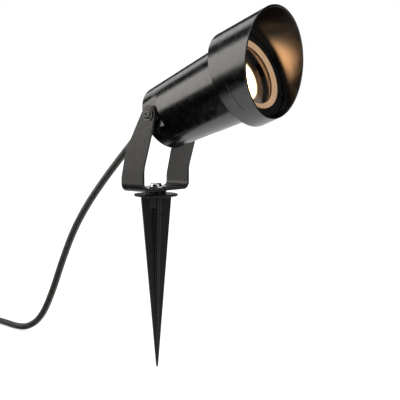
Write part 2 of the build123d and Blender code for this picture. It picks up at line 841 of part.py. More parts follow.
def make_cord_end():
    """The clamped end of the cord, from inside the housing to the tip of the boot."""
    return HEAD * rod(cord_radius, boot_tip, cord_end_inner)


def lead(points, corner_radius):
    """An insulated lead along straight runs joined by arcs, in the head's frame."""
    path = FilletPolyline(*points, radius=corner_radius)
    start = Plane(origin=path @ 0, z_dir=path % 0)
    return HEAD * sweep(start * Circle(lead_radius), path)


def make_contact_lead(sign):
    """Live or neutral lead: from the cord's end, spread to its entry in the lampholder."""
    start = cord_end_inner
    end = holder_rear + lead_plug_depth
    run = (end - start) / 3
    return lead([
        (start, sign * lead_start_offset, lead_start_drop),
        (start + run, sign * lead_start_offset, lead_start_drop),
        (end - run, sign * pin_spacing / 2, 0),
        (end, sign * pin_spacing / 2, 0),
    ], lead_corner_radius)


def make_earth_lead():
    """Earth lead: from the cord's end round to the barrel of the ring terminal."""
    barrel_s = earth_post_top + earth_barrel_radius
    barrel_low = earth_barrel_centre + earth_barrel_length / 2 - earth_wire_depth
    bend = cord_end_inner + earth_lead_run
    return lead([
        (cord_end_inner, 0, -earth_lead_start_drop),
        (bend, 0, -earth_lead_start_drop),
        (bend, earth_offset / 2, -earth_lead_elbow_drop),
        (bend - earth_lead_return, earth_offset, -earth_lead_low_drop),
        (barrel_s, earth_offset, -earth_lead_low_drop),
        (barrel_s, earth_offset, -barrel_low),
    ], earth_lead_corner_radius)


# --- cord, coil and plug --------------------------------------------------------------------------
def route_radii(points):
    """Arc radius at each corner: a share of the shorter run over the tangent of half the turn."""
    radii = []
    for before, corner, after in zip(points, points[1:], points[2:]):
        run_in = Vector(*corner) - Vector(*before)
        run_out = Vector(*after) - Vector(*corner)
        turn = math.radians(run_in.get_angle(run_out))
        tangent_length = route_arc_share * min(run_in.length, run_out.length)
        radii.append(tangent_length / math.tan(turn / 2))
    return radii


def round_tube(points, radius, name):
    """A tube along straight runs joined by tangent arcs, and its length."""
    radii = route_radii(points)
    path = FilletPolyline(*points, radius=radii)
    start = Plane(origin=path @ 0, z_dir=path % 0)
    swept = sweep(start * Circle(radius), path)
    expected = math.pi * radius ** 2 * path.length
    print(name, "length", round(path.length, 1), "volume / expected", round(swept.volume / expected, 5))
    print(name, "radii", [round(r, 1) for r in radii])
    return swept, path.length


def head_point(s):
    """A point on the beam axis, in the model's frame."""
    angle = math.radians(beam_tilt_deg)
    return pivot_x + s * math.cos(angle), 0.0, pivot_height + s * math.sin(angle)


def make_cord():
    """The free cord from the boot down to the coil."""
    start = [head_point(boot_tip), head_point(boot_tip - first_run)]
    return round_tube(start + cord_route + [coil_entry], cord_radius, "cord")


def make_cord_tail():
    """The end of the cord, which turns back from the coil and rises to the plug."""
    return round_tube([coil_exit] + tail_route + [plug_neck_point], cord_radius, "tail")


def make_cord_coil():
    """Outer shape of the tied coil: wound inwards below and outwards above, with its two ends."""
    place = Pos(coil_centre_x, coil_centre_y, ground_level + coil_height / 2)
    ring = place * (Cylinder(coil_outer_radius, coil_height) - Cylinder(coil_bore_radius, coil_height))
    stub = Cylinder(cord_radius, coil_stub)
    for end in (coil_entry, coil_exit):
        ring = ring + Pos(coil_centre_x + coil_stub / 2, end[1], end[2]) * Rot(0, 90, 0) * stub
    return ring


def make_coil_tie():
    """Flat plastic-coated twist tie round the coil, on the side away from the cord's ends."""
    width = coil_outer_radius - coil_bore_radius + 2 * tie_gap
    height = coil_height + tie_gap
    outer = Box(width + 2 * tie_thickness, tie_width, height + tie_thickness)
    strap = Pos(0, 0, tie_thickness / 2) * outer - Box(width, 2 * tie_width, height)
    angle = math.radians(tie_angle_deg)
    middle = (coil_bore_radius + coil_outer_radius) / 2
    x = coil_centre_x + middle * math.cos(angle)
    y = coil_centre_y + middle * math.sin(angle)
    return Pos(x, y, ground_level + height / 2) * Rot(0, 0, tie_angle_deg) * strap


def plug_frame():
    """The plug's frame: its axis runs on from the way the tail ends, out of its face."""
    neck = Vector(*plug_neck_point)
    along = neck - Vector(*tail_route[-1])
    return Plane(origin=neck, z_dir=along, x_dir=Vector(-along.Y, along.X, 0))


def make_plug_body():
    """Moulded rubber mains plug: slotted boot, swelling grip and a round face with its earth hole."""
    face_start = face_end - plug_face_length
    line = Polyline(
        (0, 0, 0),
        (plug_boot_end_radius, 0, 0),
        (plug_boot_top_radius, 0, plug_boot_length),
        (plug_shoulder_radius, 0, plug_boot_length + plug_shoulder_length),
        (plug_grip_radius, 0, plug_boot_length + plug_grip_length),
        (plug_face_radius, 0, face_start),
        (plug_face_radius, 0, face_end),
        (0, 0, face_end),
        close=True,
    )
    body = revolve(make_face(line), axis=Axis.Z)
    body = fillet(body.edges().filter_by(GeomType.CIRCLE).group_by(Axis.Z)[-1], plug_face_fillet)
    slot = Cylinder(plug_face_radius, plug_slot_width) - Cylinder(plug_slot_root_radius, plug_slot_width)
    for k in range(plug_slot_count):
        body = body - Pos(0, 0, plug_slot_start + k * plug_slot_pitch) * slot
    hole = Cylinder(plug_socket_radius, plug_socket_depth)
    body = body - Pos(0, plug_socket_offset, face_end - plug_socket_depth / 2) * hole
    depth = plug_clip_thickness + plug_clip_gap
    length = plug_clip_length + 2 * plug_clip_gap
    groove = Box(2 * depth, plug_clip_width + 2 * plug_clip_gap, length)
    root_depth = plug_root_length + thread_clearance
    pin_hole = Cylinder(plug_root_radius + thread_clearance, root_depth)
    for sign in (1, -1):
        body = body - Pos(sign * plug_face_radius, 0, face_end - length / 2) * groove
        body = body - Pos(sign * plug_pin_spacing / 2, 0, face_end - root_depth / 2) * pin_hole
    return plug_frame() * body


def make_plug_pins():
    """Two round plated pins, set in the plug's face."""
    pin = Pos(0, 0, face_end + plug_pin_length / 2) * Cylinder(plug_pin_radius, plug_pin_length)
    pin = chamfer(pin.edges().group_by(Axis.Z)[-1], plug_pin_chamfer)
    pin = pin + Pos(0, 0, face_end - plug_root_length / 2) * Cylinder(plug_root_radius, plug_root_length)
    return plug_frame() * Compound([Pos(sign * plug_pin_spacing / 2, 0, 0) * pin for sign in (1, -1)])


def make_plug_earth_clips():
    """Two plated earth strips in the sides of the plug's face."""
    strip = Box(plug_clip_thickness, plug_clip_width, plug_clip_length)
    x = plug_face_radius - plug_clip_thickness / 2
    z = face_end - plug_clip_gap - plug_clip_length / 2
    return plug_frame() * Compound([Pos(sign * x, 0, z) * strip for sign in (1, -1)])


cord_tube, cord_length = make_cord()
tail_tube, tail_length = make_cord_tail()
coil_length = math.pi * coil_lower_turns * (coil_entry_radius + coil_inner_radius)
coil_length += math.pi * coil_upper_turns * (coil_inner_radius + coil_exit_radius)
print("cord", round(cord_length), "coil", round(coil_length), "tail", round(tail_length))
print("total", round(cord_length + coil_length + tail_length + 2 * coil_stub))

parts = {
    "ground_spike": make_ground_spike(),
    "spike_insert": make_spike_insert(),
    "swivel_screw": make_swivel_screw(),
    "swivel_washer": make_swivel_washer(),
    "u_bracket": make_u_bracket(),
    "pivot_screws": make_pivot_screws(),
    "pivot_cup_washers": make_cup_washers(),
    "friction_discs": make_friction_discs(),
    "housing": make_housing(),
    "hood": make_hood(),
    "glass_gasket": make_glass_gasket(),
    "front_glass": make_front_glass(),
    "retaining_ring": make_retaining_ring(),
    "ring_screws": make_ring_screws(),
    "lamp_body": make_lamp_body(),
    "lamp_lens": make_lamp_lens(),
    "lamp_pins": make_lamp_pins(),
    "lampholder": make_lampholder(),
    "holder_plate": make_holder_plate(),
    "holder_screws": make_holder_screws(),
    "earth_lug": make_earth_lug(),
    "earth_screw": make_earth_screw(),
    "gland_body": make_gland_body(),
    "gland_nut": make_gland_nut(),
    "gland_locknut": make_gland_locknut(),
    "cord_boot": make_cord_boot(),
    "cord_end": make_cord_end(),
    "live_lead": make_contact_lead(1),
    "neutral_lead": make_contact_lead(-1),
    "earth_lead": make_earth_lead(),
    "cord": cord_tube,
    "cord_coil": make_cord_coil(),
    "cord_tail": tail_tube,
    "coil_tie": make_coil_tie(),
    "plug_body": make_plug_body(),
    "plug_pins": make_plug_pins(),
    "plug_earth_clips": make_plug_earth_clips(),
}

os.makedirs("parts", exist_ok=True)
for name, solid in parts.items():
    export_step(solid, os.path.join("parts", name + ".step"))
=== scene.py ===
from math import cos, pi, radians, sin

import bpy
from mathutils import Matrix, Vector


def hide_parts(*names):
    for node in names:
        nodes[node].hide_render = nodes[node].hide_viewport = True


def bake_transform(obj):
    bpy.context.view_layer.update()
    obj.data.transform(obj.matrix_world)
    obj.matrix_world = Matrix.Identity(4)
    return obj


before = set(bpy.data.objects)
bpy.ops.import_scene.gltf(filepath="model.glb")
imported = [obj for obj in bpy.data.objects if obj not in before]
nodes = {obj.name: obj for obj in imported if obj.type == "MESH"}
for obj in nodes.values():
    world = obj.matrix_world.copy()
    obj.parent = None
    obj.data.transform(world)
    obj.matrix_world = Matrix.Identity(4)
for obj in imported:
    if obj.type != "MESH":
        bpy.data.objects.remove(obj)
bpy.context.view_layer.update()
scene = bpy.context.scene

# --- Camera -----------------------------------------------------------------------------------------
# Stands 0.69 m in front of the lamp and to its right, just above the head's height, and looks slightly
# down, as the photograph was taken. The picture is square.
camera = bpy.data.objects.new("camera", bpy.data.cameras.new("camera"))
camera.location = (0.46574, -0.50579, 0.06345)
camera.rotation_euler = (radians(84.399), 0, radians(39.305))
camera.data.sensor_width = 36
camera.data.lens = 68.13
scene.collection.objects.link(camera)
scene.camera = camera
scene.view_settings.view_transform = "Standard"


# --- Studio: floor and room -------------------------------------------------------------------------
# A pale matt table top that the spike's point touches, in a white room. The table keeps the shadows.
# The room shows white directly, in gloss and through glass, and lights the lamp only softly.
def add_node(material, kind, settings=None, inputs=None):
    """A node in a material's or world's tree, with its settings and its unlinked inputs."""
    made = material.node_tree.nodes.new("ShaderNode" + kind)
    for name, value in (settings or {}).items():
        setattr(made, name, value)
    for socket, value in (inputs or {}).items():
        made.inputs[socket].default_value = value
    return made


def join(material, source, output, target, socket):
    """A link from one node's output to another node's input."""
    material.node_tree.links.new(source.outputs[output], target.inputs[socket])


def combine(material, operation, first, second):
    """One number from two nodes' first outputs, such as their product or the larger one."""
    made = add_node(material, "Math", {"operation": operation})
    join(material, first, 0, made, 0)
    join(material, second, 0, made, 1)
    return made


def seen_directly(material):
    """1 for camera, glossy and transmission rays, else 0."""
    rays = add_node(material, "LightPath")
    first = add_node(material, "Math", {"operation": "ADD", "use_clamp": True})
    both = add_node(material, "Math", {"operation": "ADD", "use_clamp": True})
    join(material, rays, "Is Camera Ray", first, 0)
    join(material, rays, "Is Glossy Ray", first, 1)
    join(material, first, 0, both, 0)
    join(material, rays, "Is Transmission Ray", both, 1)
    return both


ground = -0.160
table_half = 20.0
table_mesh = bpy.data.meshes.new("table")
table_mesh.from_pydata([(-table_half, -table_half, ground), (table_half, -table_half, ground),
                        (table_half, table_half, ground), (-table_half, table_half, ground)], [], [(0, 1, 2, 3)])
table = bpy.data.objects.new("table", table_mesh)
scene.collection.objects.link(table)

table_top = bpy.data.materials.new("table_top")
table_top.use_nodes = True
table_paint = table_top.node_tree.nodes["Principled BSDF"]
table_paint.inputs["Base Color"].default_value = (0.80, 0.80, 0.80, 1)
table_paint.inputs["Roughness"].default_value = 0.9
table_paint.inputs["Specular IOR Level"].default_value = 0.1

# What eyes and gloss see of the table: whiter far away, as in the photograph, but dusky in gloss, so
# that the black paint stays black.
table_glow = add_node(table_top, "Emission", inputs={"Color": (1, 1, 1, 1)})
table_place = add_node(table_top, "TexCoord")
table_reach = add_node(table_top, "VectorMath", {"operation": "LENGTH"})
table_fade = add_node(table_top, "MapRange", inputs={"From Min": 0.5, "From Max": 2.5,
                                                     "To Min": 0.70, "To Max": 1.0})
table_dusk = add_node(table_top, "MapRange", inputs={"From Min": 0.2, "From Max": 0.8,
                                                     "To Min": 0.70, "To Max": 0.38})
table_rays = add_node(table_top, "LightPath")
table_level = add_node(table_top, "Mix")
table_sum = add_node(table_top, "AddShader")
join(table_top, table_place, "Object", table_reach, 0)
join(table_top, table_reach, "Value", table_fade, "Value")
join(table_top, table_reach, "Value", table_dusk, "Value")
join(table_top, table_rays, "Is Glossy Ray", table_level, 0)
join(table_top, table_fade, 0, table_level, 2)
join(table_top, table_dusk, 0, table_level, 3)
join(table_top, combine(table_top, "MULTIPLY", seen_directly(table_top), table_level), 0, table_glow, "Strength")
join(table_top, table_paint, 0, table_sum, 0)
join(table_top, table_glow, 0, table_sum, 1)
join(table_top, table_sum, 0, table_top.node_tree.nodes["Material Output"], "Surface")
table_mesh.materials.append(table_top)

room = bpy.data.worlds.new("room")
room.use_nodes = True
room_light = room.node_tree.nodes["Background"]
room_light.inputs["Color"].default_value = (1, 1, 1, 1)
room_level = add_node(room, "MapRange", inputs={"To Min": 0.35, "To Max": 1.0})
join(room, seen_directly(room), 0, room_level, "Value")
join(room, room_level, "Result", room_light, "Strength")
scene.world = room

# --- Studio: lamps and black cards ------------------------------------------------------------------
# Long soft boxes that lie along the beam's direction, so that each one draws one clean band of light
# down the head's side. Black cards between them, seen only in gloss, keep the paint black elsewhere.
beam_tilt = radians(20.2)
beam = Vector((cos(beam_tilt), 0, sin(beam_tilt)))
pivot = Vector((0.0202, 0, 0.0734))
head_middle = pivot + 0.07 * beam
sight = (head_middle - camera.location).normalized()
beam_share = sight.dot(beam)
towards_camera = -(sight - beam_share * beam).normalized()
over_the_top = towards_camera.cross(beam)


def beside_head(band_from, band_to, distance):
    """Middle, facing direction and width of a strip whose gloss falls on the head between two angles.

    The angles are those of the head's surface, in degrees up from the line that faces the camera.
    """
    turn = radians(band_from + band_to)
    outward = cos(turn) * towards_camera + sin(turn) * over_the_top
    slip = beam_share / (1 - beam_share ** 2) ** 0.5
    middle = head_middle + distance * (outward + slip * beam)
    width = 2 * distance * abs(sin(radians(band_to - band_from)))
    return middle, outward, width


def soft_box(name, band_from, band_to, distance, length, radiance, colour):
    """A strip lamp parallel to the beam, as bright as asked wherever it is seen."""
    middle, outward, width = beside_head(band_from, band_to, distance)
    lamp = bpy.data.lights.new(name, "AREA")
    lamp.shape = "RECTANGLE"
    lamp.size = length
    lamp.size_y = width
    lamp.energy = radiance * pi * length * width
    lamp.color = colour
    box = bpy.data.objects.new(name, lamp)
    facing = Matrix([beam, outward.cross(beam), outward]).transposed().to_4x4()
    box.matrix_world = Matrix.Translation(middle) @ facing
    box.visible_camera = False
    scene.collection.objects.link(box)


box_distance = 0.9
box_length = 1.6
soft_box("key_box", 14, 42, box_distance, box_length, radiance=2.3, colour=(1.0, 0.95, 0.88))
soft_box("rim_box", 57, 66, box_distance, box_length, radiance=0.75, colour=(1.0, 0.97, 0.93))

card_black = bpy.data.materials.new("card_black")
card_black.use_nodes = True
card_felt = card_black.node_tree.nodes["Principled BSDF"]
card_felt.inputs["Base Color"].default_value = (0.003, 0.003, 0.003, 1)
card_felt.inputs["Roughness"].default_value = 1.0
card_felt.inputs["Specular IOR Level"].default_value = 0.0


def black_card(name, corners):
    """A flat card that only gloss sees."""
    mesh = bpy.data.meshes.new(name)
    mesh.from_pydata([tuple(corner) for corner in corners], [], [tuple(range(len(corners)))])
    mesh.materials.append(card_black)
    card = bpy.data.objects.new(name, mesh)
    for ray in ("camera", "diffuse", "transmission", "volume_scatter", "shadow"):
        setattr(card, "visible_" + ray, False)
    scene.collection.objects.link(card)


def strip_card(name, band_from, band_to, length):
    """A card that keeps one band of the head's side black, just behind the soft boxes."""
    distance = box_distance + 0.05
    middle, outward, width = beside_head(band_from, band_to, distance)
    across = outward.cross(beam) * width / 2
    along = beam * length / 2
    black_card(name, [middle - across - along, middle + across - along,
                      middle + across + along, middle - across + along])


# One card lies on the table before the spike; two stand, to the camera's side and beyond the head.
card_foot = ground + 0.001
front_outline = [(-2.6, -2.6), (-0.03, -2.6), (-0.03, -0.28), (0.005, -0.16), (0.026, -0.08), (0.026, -0.005),
                 (-2.6, -0.005)]
black_card("front_card", [(x, y, card_foot) for x, y in front_outline])
camera_card_top = 0.33
black_card("camera_card", [(0.95, -0.45, card_foot), (0.95, -0.45, camera_card_top),
                           (0.40, -1.0, camera_card_top), (0.40, -1.0, card_foot)])
side_card_top = 1.0
black_card("side_card", [(1.3, 0.45, card_foot), (1.3, 0.45, side_card_top),
                         (0.25, 1.4, side_card_top), (0.25, 1.4, card_foot)])
strip_card("gap_card", 43, 55, box_length)
strip_card("back_card", 68, 89, 2.5 * box_length)

# --- Ground spike -----------------------------------------------------------------------------------
# One moulding in black glass-filled nylon: a flange that stops on the soil, a low hub for the bracket
# and a cross of four thin ribs that run down to the point. Fine mould grain, paler rubbed edges.
def new_finish(name, roughness=0.5, metallic=0.0, specular=0.5):
    """A material of one finish, whose tones and other detail are added after."""
    made = bpy.data.materials.new(name)
    made.use_nodes = True
    shader = made.node_tree.nodes["Principled BSDF"]
    shader.inputs["Roughness"].default_value = roughness
    shader.inputs["Metallic"].default_value = metallic
    shader.inputs["Specular IOR Level"].default_value = specular
    return made


def noise(material, feature, detail=3.0, stretch=(1, 1, 1)):
    """Noise with features of a given size in metres, in the piece's own coordinates."""
    place = add_node(material, "TexCoord")
    stretched = add_node(material, "Mapping", inputs={"Scale": stretch})
    made = add_node(material, "TexNoise", inputs={"Scale": 1 / feature, "Detail": detail})
    join(material, place, "Object", stretched, "Vector")
    join(material, stretched, "Vector", made, "Vector")
    return made


def spread(material, pattern, low, high):
    """A pattern's middle range spread out between two values."""
    made = add_node(material, "MapRange", inputs={"From Min": 0.35, "From Max": 0.65,
                                                  "To Min": low, "To Max": high})
    join(material, pattern, 0, made, "Value")
    return made


def recolour(material, share, second, first=None):
    """Base colour that goes to a second tone as the share rises, from a first or from what it was."""
    base = material.node_tree.nodes["Principled BSDF"].inputs["Base Color"]
    mix = add_node(material, "Mix", {"data_type": "RGBA"}, {7: (*second, 1)})
    join(material, share, 0, mix, 0)
    if first:
        mix.inputs[6].default_value = (*first, 1)
    else:
        material.node_tree.links.new(base.links[0].from_socket, mix.inputs[6])
    material.node_tree.links.new(mix.outputs[2], base)


def tint(material, pattern, dark, light):
    """Base colour that wanders between two tones."""
    recolour(material, spread(material, pattern, 0, 1), light, first=dark)


def vary_roughness(material, pattern, low, high):
    """Roughness that wanders between two values."""
    join(material, spread(material, pattern, low, high), 0,
         material.node_tree.nodes["Principled BSDF"], "Roughness")


def raise_surface(material, pattern, height):
    """Bump of a given height in metres, laid over any bump that is there already."""
    shader = material.node_tree.nodes["Principled BSDF"]
    bump = add_node(material, "Bump", inputs={"Strength": 1.0, "Distance": height})
    join(material, pattern, 0, bump, "Height")
    if shader.inputs["Normal"].links:
        material.node_tree.links.new(shader.inputs["Normal"].links[0].from_socket, bump.inputs["Normal"])
    join(material, bump, 0, shader, "Normal")


def edge_wear(material, width, worn):
    """Lightens the base colour in a narrow band along sharp edges.

    There the normal of the rounded shape leaves the true one; the band goes by the cosine between them.
    """
    rounded = add_node(material, "Bevel", {"samples": 4}, {"Radius": width})
    flat = add_node(material, "NewGeometry")
    likeness = add_node(material, "VectorMath", {"operation": "DOT_PRODUCT"})
    band = add_node(material, "MapRange", inputs={"From Min": 0.99, "From Max": 0.80,
                                                  "To Min": 0.0, "To Max": 1.0})
    join(material, rounded, "Normal", likeness, 0)
    join(material, flat, "Normal", likeness, 1)
    join(material, likeness, "Value", band, "Value")
    recolour(material, band, worn)


def dress(material, *names):
    """Gives CAD nodes a finish."""
    for name in names:
        mesh = nodes[name].data
        mesh.materials.clear()
        mesh.materials.append(material)


spike_nylon = new_finish("spike_nylon", specular=0.22)
tint(spike_nylon, noise(spike_nylon, 0.012, stretch=(1, 1, 0.2)), (0.0035, 0.0035, 0.0036), (0.007, 0.007, 0.0072))
vary_roughness(spike_nylon, noise(spike_nylon, 0.006, stretch=(1, 1, 0.3)), 0.26, 0.38)
raise_surface(spike_nylon, noise(spike_nylon, 0.0006), 0.000012)
edge_wear(spike_nylon, 0.0008, (0.13, 0.13, 0.13))
dress(spike_nylon, "ground_spike")

# --- Insert, swivel screw and washer ----------------------------------------------------------------
# The brass insert is moulded into the spike's boss. A bright zinc-plated machine screw with a wide
# washer clamps the bracket down on the hub, so that the bracket swivels stiffly on the spike.
brass = new_finish("brass", metallic=1.0)
tint(brass, noise(brass, 0.002), (0.66, 0.46, 0.18), (0.78, 0.58, 0.27))
vary_roughness(brass, noise(brass, 0.0008), 0.28, 0.45)
dress(brass, "spike_insert")

bright_zinc = new_finish("bright_zinc", metallic=1.0)
tint(bright_zinc, noise(bright_zinc, 0.003), (0.62, 0.63, 0.65), (0.80, 0.80, 0.80))
vary_roughness(bright_zinc, noise(bright_zinc, 0.0012), 0.10, 0.22)
turning = add_node(bright_zinc, "TexWave", {"wave_type": "RINGS", "rings_direction": "Z"},
                   {"Scale": 700.0, "Distortion": 0.6})
join(bright_zinc, add_node(bright_zinc, "TexCoord"), "Object", turning, "Vector")
raise_surface(bright_zinc, turning, 0.000004)
dress(bright_zinc, "swivel_screw", "swivel_washer")

# --- U-bracket --------------------------------------------------------------------------------------
# Bent from 2.5 mm steel strip and powder-coated black. Both arms lean forward to the pivots. The
# coat has a fine orange-peel grain and thins to a lighter tone along the cut edges.
bracket_paint = new_finish("bracket_paint", specular=0.55)
tint(bracket_paint, noise(bracket_paint, 0.008), (0.0035, 0.0033, 0.0029), (0.0075, 0.0072, 0.0062))
vary_roughness(bracket_paint, noise(bracket_paint, 0.003), 0.36, 0.48)
raise_surface(bracket_paint, noise(bracket_paint, 0.0011, 2.0), 0.00003)
edge_wear(bracket_paint, 0.00025, (0.05, 0.048, 0.043))
dress(bracket_paint, "u_bracket")

# --- Pivots -----------------------------------------------------------------------------------------
# Low domed socket screws through cup washers hold the head between the arms. Brown fibre discs
# between ears and arms make the friction that keeps the tilt.
pivot_steel = new_finish("pivot_steel", metallic=1.0)
tint(pivot_steel, noise(pivot_steel, 0.002), (0.055, 0.055, 0.053), (0.09, 0.09, 0.086))
vary_roughness(pivot_steel, noise(pivot_steel, 0.0009), 0.34, 0.52)
raise_surface(pivot_steel, noise(pivot_steel, 0.0004), 0.000006)
edge_wear(pivot_steel, 0.0003, (0.28, 0.28, 0.27))
dress(pivot_steel, "pivot_screws", "pivot_cup_washers")

fibre_disc = new_finish("fibre_disc", roughness=0.8)
tint(fibre_disc, noise(fibre_disc, 0.0012, 6.0), (0.040, 0.024, 0.016), (0.080, 0.052, 0.034))
raise_surface(fibre_disc, noise(fibre_disc, 0.0004, 6.0), 0.00003)
dress(fibre_disc, "friction_discs")

# --- Housing and hood -------------------------------------------------------------------------------
# The tapered body with its stepped collar is die-cast aluminium; the hood is a cut length of tube
# pushed over the collar's spigot. Both have the same black enamel: a clear gloss outside, and inside
# the hood a duller black with a faint brown tint, which is painted warm light from the lamp. A hairline
# shows where hood and collar meet.
body_paint = new_finish("body_paint", specular=0.8)


def from_pivot(material):
    """The way from the middle of the pivots to a place on the piece."""
    place = add_node(material, "TexCoord")
    arm = add_node(material, "VectorMath", {"operation": "SUBTRACT"}, {1: pivot})
    join(material, place, "Object", arm, 0)
    return arm


def along_and_across(material):
    """How far a place is along the beam from the pivots, and how far out from the beam's line."""
    arm = from_pivot(material)
    along = add_node(material, "VectorMath", {"operation": "DOT_PRODUCT"}, {1: beam})
    shadow = add_node(material, "VectorMath", {"operation": "SCALE"}, {0: beam})
    across = add_node(material, "VectorMath", {"operation": "SUBTRACT"})
    out = add_node(material, "VectorMath", {"operation": "LENGTH"})
    join(material, arm, 0, along, 0)
    join(material, along, "Value", shadow, "Scale")
    join(material, arm, 0, across, 0)
    join(material, shadow, 0, across, 1)
    join(material, across, 0, out, 0)
    return along, out


def step_at(material, source, start, end):
    """0 below one distance and 1 above another, or the reverse where the first is the larger."""
    made = add_node(material, "MapRange", inputs={"From Min": start, "From Max": end})
    join(material, source, "Value", made, "Value")
    return made


def mix_values(material, share, first, second, target):
    """A number that goes from one value or pattern to another as the share rises, into the shader."""
    made = add_node(material, "Mix")
    join(material, share, 0, made, 0)
    for socket, value in ((2, first), (3, second)):
        if isinstance(value, float):
            made.inputs[socket].default_value = value
        else:
            join(material, value, 0, made, socket)
    join(material, made, 0, material.node_tree.nodes["Principled BSDF"], target)


body_along, body_out = along_and_across(body_paint)
collar_front = 0.0920
hood_bore = 0.0404
paint_change = 0.0002
inside_hood = combine(body_paint, "MULTIPLY",
                      step_at(body_paint, body_along, collar_front - paint_change / 2, collar_front + paint_change / 2),
                      step_at(body_paint, body_out, hood_bore + paint_change, hood_bore - paint_change))
# Painted warm light: inside the hood the black is tinted warm brown, as if lit by the lamp.
recolour(body_paint, inside_hood, (0.003, 0.0016, 0.0009), first=(0.0015, 0.0015, 0.0016))

# The wall round the lamp's rim is painted brown, a painted glow of the lamp's light falling on it.
rim_rear = 0.0790
rim_front = 0.0880
mouth_bore = 0.0304
past_rear = step_at(body_paint, body_along, rim_rear, rim_rear + 0.001)
before_front = step_at(body_paint, body_along, rim_front, rim_front - paint_change / 2)
on_wall = step_at(body_paint, body_out, mouth_bore + paint_change, mouth_bore - paint_change)
rim_painted_glow = combine(body_paint, "MULTIPLY", combine(body_paint, "MULTIPLY", past_rear, before_front), on_wall)
recolour(body_paint, rim_painted_glow, (0.045, 0.024, 0.012))
mix_values(body_paint, inside_hood, spread(body_paint, noise(body_paint, 0.005), 0.17, 0.25),
           spread(body_paint, noise(body_paint, 0.004), 0.21, 0.27), "Roughness")
raise_surface(body_paint, noise(body_paint, 0.0022, 1.0), 0.000006)

hood_joint = 0.09182
hairline = add_node(body_paint, "MapRange", {"interpolation_type": "SMOOTHSTEP"},
                    {"From Min": 0.0, "From Max": 0.0006})
off_line = add_node(body_paint, "Math", {"operation": "SUBTRACT"}, {1: hood_joint})
off_line_size = add_node(body_paint, "Math", {"operation": "ABSOLUTE"})
join(body_paint, body_along, "Value", off_line, 0)
join(body_paint, off_line, 0, off_line_size, 0)
join(body_paint, off_line_size, 0, hairline, "Value")
raise_surface(body_paint, hairline, 0.00006)
dress(body_paint, "housing", "hood")

# --- Gasket, glass and retaining ring ---------------------------------------------------------------
# The toughened glass sits in a U-section ring of pale silicone. Its face has a soft painted glow,
# emission that stands in for the lamp's light on it; its bore and the groove behind the glass are
# painted darker brown with less glow, as painted shade. A flat black aluminium ring with three screws
# presses it into the collar.
gasket_silicone = new_finish("gasket_silicone", specular=0.25)
tint(gasket_silicone, noise(gasket_silicone, 0.006), (0.76, 0.53, 0.34), (0.84, 0.63, 0.42))
vary_roughness(gasket_silicone, noise(gasket_silicone, 0.002), 0.38, 0.55)
raise_surface(gasket_silicone, noise(gasket_silicone, 0.0008), 0.00002)
# Painted glow: the face's emission stands in for the lamp's light falling on it.
gasket_silicone.node_tree.nodes["Principled BSDF"].inputs["Emission Color"].default_value = (1.0, 0.62, 0.34, 1)
gasket_along, gasket_out = along_and_across(gasket_silicone)
gasket_bore = 0.0253
glass_front = 0.0912
bore_painted_shade = combine(gasket_silicone, "MAXIMUM",
                        step_at(gasket_silicone, gasket_out, gasket_bore + 0.0002, gasket_bore + 0.00006),
                        step_at(gasket_silicone, gasket_along, glass_front + 0.0003, glass_front))
# Painted shade: the bore and the groove behind the glass are darker brown and glow less.
recolour(gasket_silicone, bore_painted_shade, (0.060, 0.042, 0.026))
mix_values(gasket_silicone, bore_painted_shade, 0.24, 0.02, "Emission Strength")
dress(gasket_silicone, "glass_gasket")

clear_glass = new_finish("clear_glass")
glass_shader = clear_glass.node_tree.nodes["Principled BSDF"]
glass_shader.inputs["Base Color"].default_value = (1, 1, 1, 1)
glass_shader.inputs["Transmission Weight"].default_value = 1.0
glass_shader.inputs["IOR"].default_value = 1.5
vary_roughness(clear_glass, noise(clear_glass, 0.01), 0.0, 0.03)
dress(clear_glass, "front_glass")

ring_black = new_finish("ring_black")
tint(ring_black, noise(ring_black, 0.003), (0.006, 0.006, 0.006), (0.012, 0.012, 0.012))
vary_roughness(ring_black, noise(ring_black, 0.001), 0.32, 0.50)
raise_surface(ring_black, noise(ring_black, 0.0005), 0.000008)
dress(ring_black, "retaining_ring", "ring_screws")

# --- Lamp -------------------------------------------------------------------------------------------
# Two-pin reflector lamp, 50 mm across: a moulded shell with cooling slots, painted dark as shade all
# round but for one side of its rim, which is left paler as a painted patch of the lamp's light, and a
# frosted lens, which glows warm white in the middle and fades to its dark edge.
lamp_shell = new_finish("lamp_shell")
tint(lamp_shell, noise(lamp_shell, 0.006), (0.17, 0.12, 0.08), (0.24, 0.18, 0.13))
# Painted light and shade: the rim is dark all round but for one side, left paler as a painted patch of lamp light.
painted_lit_side = Vector((0.7 * sin(beam_tilt), 0.7, -0.7 * cos(beam_tilt)))
towards_painted_lit_side = add_node(lamp_shell, "VectorMath", {"operation": "DOT_PRODUCT"}, {1: painted_lit_side})
join(lamp_shell, from_pivot(lamp_shell), 0, towards_painted_lit_side, 0)
recolour(lamp_shell, step_at(lamp_shell, towards_painted_lit_side, 0.014, 0.006), (0.012, 0.009, 0.006))
vary_roughness(lamp_shell, noise(lamp_shell, 0.002), 0.32, 0.50)
raise_surface(lamp_shell, noise(lamp_shell, 0.0007), 0.00001)
dress(lamp_shell, "lamp_body")

